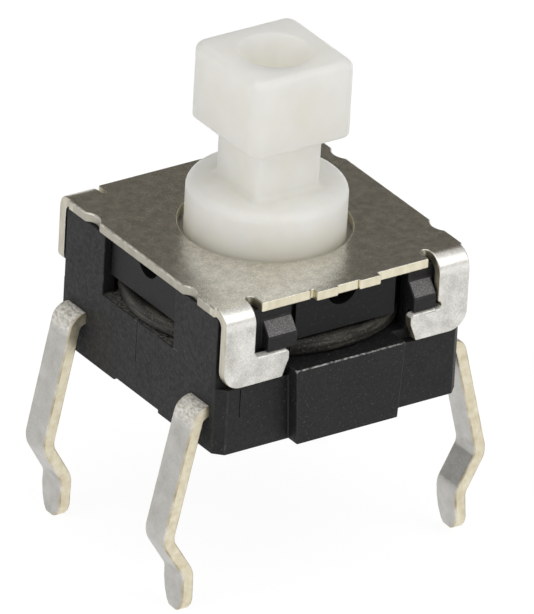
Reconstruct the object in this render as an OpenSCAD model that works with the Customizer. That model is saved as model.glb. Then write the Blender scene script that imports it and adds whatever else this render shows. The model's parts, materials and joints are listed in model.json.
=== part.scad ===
// Tactile push button switch, sealed type, with four snap-in terminals and a tall square-headed plunger.
// Millimetres. Z is up and Z = 0 is the board. The terminals leave the -X and +X faces.

/* [Base moulding] */
// Width of the square base across its plain faces
body_w = 5.9; // [5.7:0.05:6.2]
// Chamfer on the four upright corners
corner_chamfer = 0.2; // [0.1:0.01:0.2]
// Height of the ledge that carries the seal
ledge_z = 1.69; // [1.6:0.01:1.9]
// How far the posts stand back behind the lower front and back faces
post_set_back = 0.2; // [0.2:0.01:0.25]
// Front window edge from the centre, at the wide posts
window_wide_x = 1.17; // [1.1:0.01:1.25]
// Front window edge from the centre, at the narrow posts
window_narrow_x = 1.65; // [1.55:0.01:1.7]
// Side window edge from the centre, at the wide posts
window_wide_y = 1.22; // [1.15:0.01:1.3]
// Side window edge from the centre, at the narrow posts
window_narrow_y = 1.37; // [1.3:0.01:1.5]
// Width of the moulded block on the front and back, at its top
block_top_w = 2.64; // [2.5:0.02:2.7]
// Width of the same block at the board
block_foot_w = 2.44; // [2.3:0.02:2.6]
// How far the block stands out of the face
block_out = 0.31; // [0.25:0.01:0.4]
// Height of the shallow relief under the body, between the legs of each side
foot_step = 0.07; // [0.04:0.01:0.1]
// Length of that relief
foot_step_len = 1.6; // [1.2:0.05:2]
// Diameter of the holes left by the mould's support pins
pin_mark_d = 0.6; // [0.4:0.05:0.7]

/* [Latch lugs] */
// Width of the lug on each wide post
lug_w = 0.7; // [0.55:0.01:0.8]
// How far a lug stands out of its post
lug_out = 0.25; // [0.2:0.01:0.28]
// Height of a lug's upright face
lug_face_h = 0.31; // [0.25:0.01:0.4]
// Height of a lug's sloped lead-in
lug_slope_h = 0.3; // [0.2:0.01:0.35]

/* [Cover] */
// Width of the cover along X
cover_w = 5.98; // [5.94:0.01:6.3]
// Depth of the cover along Y, between its plain front and back edges
cover_d = 5.84; // [5.7:0.02:6]
// Thickness of the steel sheet
sheet_t = 0.21; // [0.18:0.01:0.25]
// Inner radius of the hook bends
hook_bend_r = 0.18; // [0.12:0.01:0.2]
// Width of a hook's upright leg
hook_w = 0.73; // [0.6:0.01:0.8]
// Drop from the cover's top face to the foot of a front hook
hook_drop = 1.73; // [1.65:0.01:1.75]
// Height of a front hook's arm
arm_h = 0.6; // [0.5:0.01:0.65]
// Radius of a front hook's outer lower corner
hook_corner_r = 0.42; // [0.3:0.01:0.5]
// How much slimmer the arms of the rear hooks are
rear_arm_less = 0.25; // [0.2:0.01:0.28]
// Radius of a rear hook's outer lower corner
rear_corner_r = 0.15; // [0.1:0.01:0.2]
// Width of the relief slot beside a front hook
relief_w = 0.2; // [0.16:0.01:0.26]
// Width of the narrow relief slot beside a rear hook
rear_relief_w = 0.1; // [0.08:0.01:0.14]
// Length of the scooped nicks in the side edges
nick_len = 0.52; // [0.4:0.02:0.7]
// Depth of the scooped nicks
nick_depth = 0.11; // [0.06:0.01:0.15]
// Distance of the nicks from the centre
nick_y = 1.78; // [1.6:0.02:1.9]
// Width of the sheared tie tab in the front edge
tab_w = 1.54; // [1.2:0.02:1.8]
// How far the tie tab stands out
tab_out = 0.13; // [0.08:0.01:0.16]
// Diameter of the round relief at the tie tab's left end
tab_relief_d = 0.08; // [0.06:0.01:0.12]

/* [Plunger] */
// Side of the square head
head_w = 2.43; // [2.3:0.01:2.5]
// Height of the square head
head_h = 1.7; // [1.5:0.05:1.9]
// Radius of the head's upright edges
head_edge_r = 0.25; // [0.1:0.01:0.4]
// Side of the square neck
neck_w = 1.55; // [1.4:0.01:1.7]
// Radius of the neck's upright edges
neck_edge_r = 0.12; // [0.05:0.01:0.2]
// Height of the square neck
neck_h = 1.22; // [1:0.02:1.4]
// Height of the collar above the cover
collar_h = 0.95; // [0.7:0.05:1.2]
// Radius round the collar's top edge
collar_edge_r = 0.22; // [0.1:0.01:0.3]
// Thickness of the retaining flange under the cover
flange_t = 0.38; // [0.3:0.01:0.42]
// How far the flange reaches past the collar
flange_out = 0.35; // [0.25:0.01:0.38]
// Diameter at the mouth of the tapered blind hole in the head
mouth_d = 1.46; // [1.3:0.02:1.6]
// Diameter at the floor of that hole
hole_floor_d = 0.86; // [0.7:0.02:1]
// Depth of that hole
hole_depth = 1; // [0.8:0.05:1.2]
// Operating travel
travel = 0.25; // [0.2:0.01:0.3]

/* [Seal and retainer] */
// Thickness of the seal's rim
seal_t = 0.4; // [0.36:0.01:0.45]
// Thickness of the seal's web
web_t = 0.16; // [0.12:0.01:0.18]
// Height of the retainer
retainer_h = 0.95; // [0.9:0.01:1.05]
// How far the retainer lies behind the base's faces, seen in the windows
retainer_recess = 0.15; // [0.12:0.01:0.2]
// Wall of the retainer's ring, between the room for the flange and the ring's outside
ring_wall = 0.79; // [0.7:0.01:0.85]
// Height of the undercut along the foot of the retainer's outer faces
undercut_h = 0.06; // [0.04:0.01:0.08]
// Radius of the half-round notches in the retainer
notch_r = 0.36; // [0.25:0.01:0.4]

/* [Terminals] */
// Spacing of the two terminal rows along Y
row_pitch = 4.5; // [4.45:0.05:4.55]
// How far the middle of a terminal tip stands out past the base's face
tip_out = 0.36; // [0.3:0.01:0.4]
// Width of a terminal
strip_w = 0.7; // [0.6:0.02:0.72]
// Thickness of a terminal
strip_t = 0.26; // [0.2:0.01:0.3]
// Height of the terminal's upper face where it leaves the base
exit_z = 1.0; // [0.95:0.01:1.05]
// Inner radius of the terminal's shoulder bend
strip_bend_r = 0.12; // [0.08:0.01:0.2]
// Inner radius of the two bends of the kink
kink_bend_r = 0.28; // [0.2:0.01:0.32]
// Outward lean of the terminal below its shoulder
splay = 14; // [12:0.5:15]
// Inward lean below the kink
kink = 32; // [28:1:35]
// Depth below the board of the kink's outermost point
kink_z = 1.83; // [1.75:0.01:1.9]
// Depth of the terminal tips below the board
leg_len = 3.65; // [3.6:0.05:3.9]
// Height of the long bevel at the back of a tip
point_h = 0.6; // [0.4:0.02:0.65]
// Height of the short bevel at the front of a tip
short_point_h = 0.3; // [0.2:0.02:0.4]
// Width left at the end
point_w = 0.26; // [0.2:0.01:0.4]

/* [Snap dome] */
// Thickness of the dome's steel
dome_t = 0.06; // [0.05:0.01:0.08]
// Rise of the dome's inner face
dome_rise = 0.32; // [0.3:0.01:0.36]

/* [Clearances] */
// Between the collar and the cover's hole
collar_clear = 0.13; // [0.08:0.01:0.15]
// Between the flange and the retainer's bore, and under the cover
flange_clear = 0.1; // [0.06:0.01:0.15]
// Between a hook and the post behind it
hook_clear = 0.09; // [0.06:0.01:0.12]
// Between a hook's arm and what lies above or below it
arm_clear = 0.02; // [0.01:0.01:0.04]
// Between the longer hook arm and the moulded block
long_arm_gap = 0.05; // [0.03:0.01:0.1]
// How much shorter the other arm is
short_arm_less = 0.19; // [0:0.01:0.25]
// Between the seal and the posts round it
seal_clear = 0.05; // [0.03:0.01:0.08]
// Between the retainer and the wide posts
slot_tight = 0.07; // [0.05:0.01:0.1]
// Between the retainer and the narrow posts, front and back
slot_wide = 0.35; // [0.2:0.01:0.4]
// Between stacked inner pieces that only touch in use
rest_gap = 0.01; // [0.01:0.01:0.02]

/* [Hidden] */
$fn = 48;

// Half width of the base, and the face of the posts behind the hooks
bh = body_w / 2;
post_y = bh - post_set_back;
// Stack of heights
seal_top = ledge_z + seal_t;
cover_under = seal_top + retainer_h;
cover_top = cover_under + sheet_t;
// Seal rim and the round well it lies in
seal_r = bh - 0.02;
well_r = seal_r + seal_clear;
// Contact chamber between the terminal rows
chamber_r = (row_pitch - strip_w) / 2 - 0.02;
dome_r = chamber_r - 0.08;
dome_foot = exit_z + rest_gap;
dome_top = dome_foot + dome_rise + dome_t;
// Hooks
hook_in = post_y + hook_clear;
hook_face = hook_in + sheet_t;
hook_x = cover_w / 2 - 0.05;
hook_foot = cover_top - hook_drop;
rear_foot = hook_foot + rear_arm_less;
arm_top = hook_foot + arm_h;
recess_z = hook_foot - arm_clear - 0.03;
bend_y = hook_in - hook_bend_r;
bend_z = cover_under - hook_bend_r;
long_tip = block_top_w / 2 + long_arm_gap;
short_tip = long_tip + short_arm_less;
relief_y = bend_y - 0.02;
nick_r = (nick_len * nick_len / 4 + nick_depth * nick_depth) / (2 * nick_depth);
// Retainer's ring, and the plunger that slides in it
ring_r = bh - 0.06;
flange_r = ring_r - ring_wall - flange_clear;
collar_d = 2 * (flange_r - flange_out);
hole_r = collar_d / 2 + collar_clear;
flange_top = cover_under - rest_gap;
collar_top = cover_top + collar_h;
neck_top = collar_top + neck_h;
head_top = neck_top + head_h;
stem_r = 0.85;
stem_foot = seal_top + 0.12;
// Bend centres of the terminal: shoulder, kink, and the turn back to upright above the tip
tip_x = bh + tip_out;
leg_root = 0.3;
bend_out = strip_bend_r + strip_t;
kink_out = kink_bend_r + strip_t;
bend_1 = [bh, exit_z - bend_out];
run_1 = (bend_1[1] + kink_z - (kink_bend_r - strip_bend_r) * sin(splay)) / cos(splay);
bend_2 = bend_1 + run_1 * [sin(splay), -cos(splay)]
    - (kink_bend_r - strip_bend_r) * [cos(splay), sin(splay)];
run_2 = (bend_2[0] + (kink_bend_r + kink_out) * cos(kink) - kink_bend_r - strip_t / 2 - tip_x) / sin(kink);
bend_3 = bend_2 - run_2 * [sin(kink), cos(kink)] + (kink_bend_r + kink_out) * [cos(kink), -sin(kink)];
// Side outline of the terminal: outer face down to the tip, inner face back up
leg_side = concat(
    [[bh - leg_root, exit_z]],
    arc(bend_1, bend_out, 90, splay),
    arc(bend_2, kink_out, splay, -kink),
    arc(bend_3, kink_bend_r, 180 - kink, 180),
    [[tip_x + strip_t / 2, -leg_len], [tip_x - strip_t / 2, -leg_len]],
    arc(bend_3, kink_out, 180, 180 - kink),
    arc(bend_2, kink_bend_r, -kink, splay),
    arc(bend_1, strip_bend_r, splay, 90),
    [[bh - leg_root, exit_z - strip_t]]
);
// Contact tongues
tongue_z = exit_z - 0.1;
pad_r = 0.45;

// Repeats what it is given half a turn round
module both_sides() {
    children();
    rotate([0, 0, 180]) children();
}

// Square prism with chamfered upright corners
module chamfered_square(wx, wy, h) {
    c = corner_chamfer;
    linear_extrude(height = h)
        polygon([
            [-wx + c, -wy], [wx - c, -wy], [wx, -wy + c], [wx, wy - c],
            [wx - c, wy], [-wx + c, wy], [-wx, wy - c], [-wx, -wy + c]
        ]);
}

// Square prism with rounded upright edges
module rounded_square(w, r, h) {
    linear_extrude(height = h) {
        square([w, w - 2 * r], center = true);
        square([w - 2 * r, w], center = true);
        for (x = [-1, 1])
            for (y = [-1, 1])
                translate([x * (w / 2 - r), y * (w / 2 - r)]) circle(r = r, $fn = 32);
    }
}

// Moulded block in the middle of the front face, narrower towards the board
module front_block() {
    translate([0, -post_y + 0.05, 0])
        rotate([90, 0, 0])
            linear_extrude(height = post_set_back + block_out + 0.05)
                polygon([
                    [-block_foot_w / 2, 0], [block_foot_w / 2, 0],
                    [block_top_w / 2, ledge_z], [-block_top_w / 2, ledge_z]
                ]);
}

// One latch lug with a sloped lead-in, from x0 to x1 on the front
module lug(x0, x1) {
    foot = arm_top + arm_clear;
    translate([x0, 0, 0])
        rotate([90, 0, 90])
            linear_extrude(height = x1 - x0)
                polygon([
                    [-post_y + 0.1, foot], [-post_y - lug_out, foot],
                    [-post_y - lug_out, foot + lug_face_h],
                    [-post_y, foot + lug_face_h + lug_slope_h],
                    [-post_y + 0.1, foot + lug_face_h + lug_slope_h]
                ]);
}

// Black moulded base with corner posts, latch lugs and blocks
module base() {
    color([0.10, 0.10, 0.11])
    difference() {
        union() {
            difference() {
                union() {
                    chamfered_square(bh, bh, recess_z);
                    translate([-bh, -post_y, 0]) cube([body_w, 2 * post_y, cover_under]);
                }
                translate([0, 0, ledge_z]) cylinder(r = well_r, h = cover_under, $fn = 96);
                both_sides() {
                    translate([-window_wide_x, -bh - 1, ledge_z])
                        cube([window_wide_x + window_narrow_x, bh + 1, cover_under]);
                    translate([-bh - 1, -window_wide_y, ledge_z])
                        cube([bh + 1, window_wide_y + window_narrow_y, cover_under]);
                }
            }
            both_sides() {
                front_block();
                lug(-window_wide_x - lug_w, -window_wide_x);
                lug(window_narrow_x, hook_x - hook_w - 0.02);
            }
        }
        both_sides()
            translate([-bh - 1, -foot_step_len / 2, -1]) cube([1.4, foot_step_len, foot_step + 1]);
        translate([0, 0, exit_z]) cylinder(r = chamber_r, h = ledge_z);
        front_strip();
        rear_strip();
        for (x = [-1.6, 1.6])
            for (y = [-row_pitch / 2, row_pitch / 2])
                translate([x, y, -1]) cylinder(d = pin_mark_d, h = exit_z - strip_t + 1, $fn = 24);
    }
}

// Flat part of the front strip, with two tongues for the dome's rim
module front_strip() {
    z = exit_z - strip_t;
    translate([-bh, -row_pitch / 2 - strip_w / 2, z]) cube([body_w, strip_w, strip_t]);
    for (x = [-1.75, 1.15])
        translate([x, -row_pitch / 2, z]) cube([0.6, row_pitch / 2 + 0.3, strip_t]);
}

// Flat part of the rear strip, with a sunk tongue that ends in the centre contact
module rear_strip() {
    translate([-bh, row_pitch / 2 - strip_w / 2, exit_z - strip_t]) cube([body_w, strip_w, strip_t]);
    translate([-0.35, 0, tongue_z - strip_t]) cube([0.7, row_pitch / 2, strip_t]);
    translate([0, 0, tongue_z - strip_t]) cylinder(r = pad_r, h = exit_z - tongue_z + strip_t, $fn = 32);
}

// Points along an arc, from angle a0 to angle a1
function arc(c, r, a0, a1) = [for (i = [0:12]) c + r * [cos(a0 + (a1 - a0) * i / 12), sin(a0 + (a1 - a0) * i / 12)]];

// One kinked terminal leg on the +X face. Its rounded tip has a long bevel at the back and a short one in front
module leg() {
    cut = (strip_w - point_w) / 2;
    bevels = [point_h, short_point_h];
    difference() {
        translate([0, strip_w / 2, 0])
            rotate([90, 0, 0]) linear_extrude(height = strip_w) polygon(leg_side);
        for (s = [0, 1])
            mirror([0, s, 0])
                translate([tip_x - strip_t, 0, 0])
                    rotate([90, 0, 90])
                        linear_extrude(height = 2 * strip_t)
                            polygon([
                                [strip_w / 2, -leg_len + bevels[s]],
                                [strip_w / 2 - 0.2 * cut, -leg_len + 0.55 * bevels[s]],
                                [strip_w / 2 - 0.6 * cut, -leg_len + 0.18 * bevels[s]],
                                [strip_w / 2 - cut, -leg_len],
                                [strip_w / 2 - cut, -leg_len - 0.1],
                                [strip_w / 2 + 0.1, -leg_len - 0.1],
                                [strip_w / 2 + 0.1, -leg_len + bevels[s]]
                            ]);
    }
}

module leg_pair(y) {
    translate([0, y, 0]) {
        leg();
        mirror([1, 0, 0]) leg();
    }
}

// Front contact strip with its two legs
module front_terminals() {
    color([0.74, 0.73, 0.70]) {
        front_strip();
        leg_pair(-row_pitch / 2);
    }
}

// Rear contact strip with its two legs
module rear_terminals() {
    color([0.74, 0.73, 0.70]) {
        rear_strip();
        leg_pair(row_pitch / 2);
    }
}

// Thin steel dome that snaps through when pressed
module snap_dome() {
    R = (dome_r * dome_r + dome_rise * dome_rise) / (2 * dome_rise);
    color([0.78, 0.77, 0.75])
    translate([0, 0, dome_foot])
        intersection() {
            cylinder(r = dome_r, h = 2, $fn = 64);
            difference() {
                translate([0, 0, dome_rise - R]) sphere(r = R + dome_t, $fn = 128);
                translate([0, 0, dome_rise - R]) sphere(r = R, $fn = 128);
            }
        }
}

// Rubber seal: a rim with soft edges, a thin web and a middle boss that presses the dome
module seal() {
    edge = seal_t / 4;
    web_z = ledge_z + seal_t / 2 - web_t / 2;
    color([0.16, 0.155, 0.15]) {
        difference() {
            union() {
                translate([0, 0, ledge_z]) cylinder(r = seal_r - edge, h = seal_t, $fn = 96);
                translate([0, 0, ledge_z + edge]) cylinder(r = seal_r, h = seal_t - 2 * edge, $fn = 96);
                for (z = [ledge_z + edge, seal_top - edge])
                    rotate_extrude($fn = 96) translate([seal_r - edge, z]) circle(r = edge, $fn = 16);
            }
            translate([0, 0, ledge_z - 1]) cylinder(r = chamber_r + 0.1, h = seal_t + 2, $fn = 64);
        }
        translate([0, 0, web_z]) cylinder(r = chamber_r + 0.2, h = web_t, $fn = 64);
        translate([0, 0, dome_top + rest_gap])
            cylinder(r = 0.7, h = stem_foot - dome_top - 2 * rest_gap, $fn = 48);
    }
}

// Black retainer ring that clamps the seal, with an arm in each window
module retainer() {
    reach = bh - retainer_recess;
    color([0.12, 0.12, 0.13])
    translate([0, 0, seal_top])
        difference() {
            union() {
                cylinder(r = ring_r, h = retainer_h, $fn = 96);
                both_sides() {
                    translate([-window_wide_x + slot_tight, -reach, 0])
                        cube([window_wide_x + window_narrow_x - slot_tight - slot_wide, reach, retainer_h]);
                    translate([-reach, -window_wide_y + slot_tight, 0])
                        cube([reach, window_wide_y + window_narrow_y - 2 * slot_tight, retainer_h]);
                }
            }
            both_sides() {
                retainer_flats(reach);
            }
            translate([0, 0, -1]) cylinder(r = flange_r + flange_clear, h = retainer_h + 2, $fn = 64);
            for (a = [0, 90, 180, 270])
                rotate([0, 0, a])
                    translate([0, -reach + 0.3, retainer_h])
                        rotate([90, 0, 0]) cylinder(r = notch_r, h = 1, $fn = 40);
        }
}

// Trims the ring flush with the arms' faces, and undercuts the foot of those faces
module retainer_flats(reach) {
    translate([-bh - 1, -bh - 1, -1]) cube([body_w + 2, bh + 1 - reach, retainer_h + 2]);
    translate([-bh - 1, -bh - 1, -1]) cube([bh + 1 - reach, body_w + 2, retainer_h + 2]);
    translate([-bh - 1, -bh - 1, -1]) cube([body_w + 2, bh + 1.12 - reach, undercut_h + 1]);
    translate([-bh - 1, -bh - 1, -1]) cube([bh + 1.12 - reach, body_w + 2, undercut_h + 1]);
}

// White moulded plunger: stem, retaining flange, round collar, neck and square head
module plunger() {
    color([0.90, 0.89, 0.86])
    difference() {
        union() {
            translate([0, 0, stem_foot]) cylinder(r = stem_r, h = flange_top - stem_foot);
            translate([0, 0, flange_top - flange_t]) cylinder(r = flange_r, h = flange_t, $fn = 64);
            translate([0, 0, flange_top - 0.1])
                cylinder(d = collar_d, h = collar_top - collar_edge_r - flange_top + 0.1, $fn = 72);
            translate([0, 0, flange_top]) cylinder(d = collar_d - 2 * collar_edge_r, h = collar_top - flange_top, $fn = 72);
            translate([0, 0, collar_top - collar_edge_r])
                rotate_extrude($fn = 72)
                    translate([collar_d / 2 - collar_edge_r, 0]) circle(r = collar_edge_r, $fn = 24);
            translate([0, 0, collar_top - 0.1]) rounded_square(neck_w, neck_edge_r, neck_h + 0.2);
            translate([0, 0, neck_top]) rounded_square(head_w, head_edge_r, head_h);
        }
        translate([0, 0, head_top - hole_depth])
            cylinder(d1 = hole_floor_d, d2 = mouth_d, h = hole_depth, $fn = 48);
    }
}

// Flat outline of one hook below its bend, seen from outside, for the left side. The hook with the shorter
// arm has a round relief in its inner corner
module hook_outline(tip, foot, r) {
    h = arm_top - foot;
    difference() {
        union() {
            translate([-hook_x, foot + r]) square([hook_w, bend_z - foot - r]);
            translate([-hook_x + r, foot]) square([hook_w - r, h]);
            translate([-hook_x + r, foot + r]) circle(r = r, $fn = 40);
            polygon([
                [-hook_x + r, foot], [-tip - 0.15, foot], [-tip, foot + h * 0.65],
                [-tip, arm_top - 0.06], [-tip - 0.06, arm_top], [-hook_x + r, arm_top]
            ]);
        }
        if (tip > long_tip)
            translate([-hook_x + hook_w, arm_top + 0.07]) circle(r = 0.085, $fn = 24);
    }
}

// One hook with its bend, on the front of the cover
module hook(tip, foot, r) {
    translate([0, -hook_in, 0])
        rotate([90, 0, 0]) linear_extrude(height = sheet_t) hook_outline(tip, foot, r);
    translate([-hook_x, -bend_y, bend_z])
        rotate([90, 0, 90])
            rotate([0, 0, 90])
                rotate_extrude(angle = 90, $fn = 64)
                    translate([hook_bend_r, 0]) square([sheet_t, hook_w]);
    translate([-hook_x, -bend_y, cover_under]) cube([hook_w, 0.3, sheet_t]);
}

// The longer hook on the left and the shorter one on the right
module hook_pair(foot, r) {
    hook(long_tip, foot, r);
    mirror([1, 0, 0]) hook(short_tip, foot, r);
}

// Stamped steel cover with four hooks, and the sheared tie tab that held it in its strip
module cover() {
    color([0.62, 0.61, 0.58])
    difference() {
        union() {
            translate([-cover_w / 2, -bend_y, cover_under]) cube([cover_w, 2 * bend_y, sheet_t]);
            translate([-hook_x + hook_w + relief_w, -cover_d / 2, cover_under])
                cube([2 * (hook_x - hook_w - relief_w), cover_d, sheet_t]);
            translate([-hook_x + hook_w + rear_relief_w, 0, cover_under])
                cube([2 * (hook_x - hook_w - rear_relief_w), cover_d / 2, sheet_t]);
            hook_pair(hook_foot, hook_corner_r);
            rotate([0, 0, 180]) hook_pair(rear_foot, rear_corner_r);
            for (x = [-tab_w / 2, tab_w / 6])
                translate([x, -cover_d / 2 - tab_out, cover_under]) cube([tab_w / 3, tab_out + 0.1, sheet_t]);
            translate([-tab_w / 6, -cover_d / 2 - tab_out * 0.6, cover_under])
                cube([tab_w / 3, tab_out, sheet_t]);
        }
        translate([-tab_w / 2 - tab_relief_d / 2, -cover_d / 2, cover_under - 1])
            cylinder(d = tab_relief_d, h = 3, $fn = 16);
        translate([0, 0, cover_under - 1]) cylinder(r = hole_r, h = 3, $fn = 96);
        for (x = [-1, 1]) {
            translate([x * (hook_x - hook_w - relief_w / 2), -relief_y, cover_under - 1])
                cylinder(d = relief_w, h = 3, $fn = 24);
            translate([x * (hook_x - hook_w - rear_relief_w / 2), relief_y, cover_under - 1])
                cylinder(d = rear_relief_w, h = 3, $fn = 24);
            for (y = [-1, 1])
                translate([x * (cover_w / 2 + nick_r - nick_depth), y * nick_y, cover_under - 1])
                    cylinder(r = nick_r, h = 3, $fn = 64);
        }
    }
}

base();
front_terminals();
rear_terminals();
snap_dome();
seal();
retainer();
plunger();
cover();
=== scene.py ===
# %% [markdown]
# # A tactile push button switch, dressed for its picture
# The part is a small sealed switch, about 8 mm across its legs: a black moulded base, a stamped steel
# cover hooked over it, four tinned legs, and a white plunger that you press.
# The solids come from the CAD frame, in metres. Shown as they are, every edge would be perfectly sharp
# and every face one flat colour. So this lesson gives each solid the edges and finishes that the real
# piece shows, and makes the softer shapes anew as surfaces worked out with numpy.

# %% Tools, the frame and its size
import json
import math

import bmesh
import bpy
import numpy as np
from mathutils import Matrix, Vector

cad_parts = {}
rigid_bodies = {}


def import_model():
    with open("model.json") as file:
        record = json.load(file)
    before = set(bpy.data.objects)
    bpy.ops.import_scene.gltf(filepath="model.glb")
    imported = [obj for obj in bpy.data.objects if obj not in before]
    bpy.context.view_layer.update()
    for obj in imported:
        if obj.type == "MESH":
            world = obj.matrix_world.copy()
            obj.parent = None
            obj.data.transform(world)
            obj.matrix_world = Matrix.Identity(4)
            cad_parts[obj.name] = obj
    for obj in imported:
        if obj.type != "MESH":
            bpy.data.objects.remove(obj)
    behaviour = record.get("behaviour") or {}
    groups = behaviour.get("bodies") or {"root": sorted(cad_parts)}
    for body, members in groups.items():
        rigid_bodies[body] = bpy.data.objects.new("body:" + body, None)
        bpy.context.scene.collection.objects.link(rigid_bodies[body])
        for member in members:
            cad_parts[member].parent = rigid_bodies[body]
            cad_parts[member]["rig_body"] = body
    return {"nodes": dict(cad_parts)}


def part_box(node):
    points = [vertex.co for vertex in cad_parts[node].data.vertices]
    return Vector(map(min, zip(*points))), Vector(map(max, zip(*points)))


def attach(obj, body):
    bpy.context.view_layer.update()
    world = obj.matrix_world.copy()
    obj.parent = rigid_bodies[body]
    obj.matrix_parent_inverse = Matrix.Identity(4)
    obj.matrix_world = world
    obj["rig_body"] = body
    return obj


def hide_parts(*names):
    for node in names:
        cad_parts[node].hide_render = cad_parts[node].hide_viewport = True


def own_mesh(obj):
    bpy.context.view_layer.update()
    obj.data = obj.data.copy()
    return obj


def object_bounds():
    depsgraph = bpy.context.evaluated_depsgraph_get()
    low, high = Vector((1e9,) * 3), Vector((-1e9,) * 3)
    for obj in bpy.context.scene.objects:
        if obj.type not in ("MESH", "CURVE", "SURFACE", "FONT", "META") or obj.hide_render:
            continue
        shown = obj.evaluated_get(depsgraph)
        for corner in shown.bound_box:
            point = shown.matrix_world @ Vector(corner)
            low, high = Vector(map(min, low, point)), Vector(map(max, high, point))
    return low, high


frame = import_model()
cad_box = [list(corner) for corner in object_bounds()]
MM = 0.001
scene = bpy.context.scene
scene.view_settings.view_transform = "Standard"
print("CAD box in mm:", np.round(np.array(cad_box) / MM, 3).tolist())

# %% [markdown]
# ## Sizes that several steps share
# Each side of the real switch has a window, and the rubber seal's rim lies on the window's sill. The
# seal's shape, its painted shade and the grit with painted light on the sill all need that height, so it is
# named here once, in millimetres.
# The other sizes are named in the step that needs them, or read from the boxes of the solids.

# %% Shared sizes
def box_mm(node):
    """Lowest and highest corner of a CAD node's box in mm."""
    return [np.array(corner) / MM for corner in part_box(node)]


window_sill, seal_top = 1.69, 2.09
print(f"the seal's rim lies from {window_sill} to {seal_top} mm")

# %% [markdown]
# ## Where the camera stands
# The picture was taken from the front left, about 300 mm away with a long lens. The angles, the distance
# and the scale below were found by fitting the base's and the cover's corners.
# The lens is worked out for a picture of 534 by 614 pixels, whose long side is the sensor's width. The
# cover's middle lies a little to the left of the picture's middle and well above it, and the small tilt
# about the line of sight is the photographer's own.

# %% Camera
def sight_axes(azimuth, elevation):
    """Three unit vectors of someone who looks at the switch from a direction in radians: to their right,
    upwards, and from the switch to them. From azimuth 0 they look along +Y."""
    back = np.array([math.sin(azimuth) * math.cos(elevation), -math.cos(azimuth) * math.cos(elevation),
                     math.sin(elevation)])
    right = np.array([math.cos(azimuth), math.sin(azimuth), 0.0])
    return right, np.cross(back, right), back


def stand_at(thing, right, up, back, place):
    """Puts a camera or a lamp at a place in mm, turned to look along -back, and links it to the scene."""
    pose = np.eye(4)
    pose[:3, :4] = np.column_stack([right, up, back, place * MM])
    thing.matrix_world = Matrix(pose.tolist())
    scene.collection.objects.link(thing)


PICTURE = (534, 614)
turn, rise, tilt = np.radians([-35.2254, 27.8447, -3.2149])
sight_mm, px_per_mm = 303.0, 49.7043
cover_top = box_mm("cover")[1][2]
right_px, up_px = -1.7701, 85.766

level, plumb, to_camera = sight_axes(turn, rise)
across = level * math.cos(tilt) - plumb * math.sin(tilt)
upward = level * math.sin(tilt) + plumb * math.cos(tilt)
aside = (right_px * across + up_px * upward) / px_per_mm
eye = np.array([0.0, 0.0, cover_top]) + sight_mm * to_camera - aside

lens = bpy.data.cameras.new("camera")
lens.sensor_width = 36.0
lens.lens = px_per_mm * sight_mm * lens.sensor_width / max(PICTURE)
lens.clip_start, lens.clip_end = 0.01, 10.0
camera = bpy.data.objects.new("camera", lens)
stand_at(camera, across, upward, to_camera, eye)
scene.camera = camera
print(f"lens {lens.lens:.1f} mm, eye at {np.round(eye, 1).tolist()} mm")

# %% [markdown]
# ## Small tools for finishes
# Every finish below is one Principled shader fed by noise patterns. Painted pictures could do it too, but
# noise needs no files and stays sharp close up.
# The patterns read Object coordinates, turned from metres into millimetres, so that a scale of 20 means
# about twenty grains to the millimetre on this tiny part.
# Plastics, rubber and the brightest burrs have colours as they look on a screen, from 0 to 255, changed
# to the linear values that the shader wants. The other metals have the shares of red, green and blue
# light that they throw back.

# %% Helpers for finishes
WHITE = (1, 1, 1, 1)


def tone(red, green, blue):
    """Screen colour to linear colour: the standard sRGB curve, on each of the three values."""
    c = np.array([red, green, blue]) / 255.0
    return (*np.where(c <= 0.04045, c / 12.92, ((c + 0.055) / 1.055) ** 2.4), 1.0)


def grey(share):
    """Even grey that leaves a share of the light."""
    return (share, share, share, 1)


def new_finish(name, **settings):
    """A material with one Principled shader. Settings are fixed values on the shader's own sockets.
    Returns the material, its tree, the shader, and Object coordinates in millimetres."""
    material = bpy.data.materials.new(name)
    material.use_nodes = True
    tree = material.node_tree
    shader = tree.nodes["Principled BSDF"]
    for socket, value in settings.items():
        shader.inputs[socket.replace("_", " ")].default_value = value
    place = tree.nodes.new("ShaderNodeTexCoord")
    in_mm = tree.nodes.new("ShaderNodeMapping")
    in_mm.inputs["Scale"].default_value = (1 / MM,) * 3
    tree.links.new(place.outputs["Object"], in_mm.inputs["Vector"])
    return material, tree, shader, in_mm.outputs["Vector"]


def feed(tree, shader, **patterns):
    """Links patterns to the shader's sockets, each named with _ for a space."""
    for socket, pattern in patterns.items():
        tree.links.new(pattern, shader.inputs[socket.replace("_", " ")])


def put(tree, value, socket):
    """Gives a node's socket its value: a pattern is linked, and a fixed value is written."""
    if isinstance(value, bpy.types.NodeSocket):
        tree.links.new(value, socket)
    else:
        socket.default_value = value


def grain(tree, where, per_mm, detail=3.0, stretch=(1, 1, 1)):
    """Noise with about per_mm lumps to the millimetre; stretch squeezes it along an axis."""
    squeeze = tree.nodes.new("ShaderNodeMapping")
    squeeze.inputs["Scale"].default_value = stretch
    noise = tree.nodes.new("ShaderNodeTexNoise")
    noise.inputs["Scale"].default_value = per_mm
    noise.inputs["Detail"].default_value = detail
    tree.links.new(where, squeeze.inputs["Vector"])
    tree.links.new(squeeze.outputs["Vector"], noise.inputs["Vector"])
    return noise.outputs["Fac"]


def steps(tree, factor, stops):
    """Colour ramp: a list of (place from 0 to 1, colour)."""
    ramp = tree.nodes.new("ShaderNodeValToRGB")
    points = ramp.color_ramp.elements
    while len(points) < len(stops):
        points.new(0.5)
    for point, (at, colour) in zip(points, stops):
        point.position, point.color = at, colour
    tree.links.new(factor, ramp.inputs["Fac"])
    return ramp.outputs["Color"]


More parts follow.
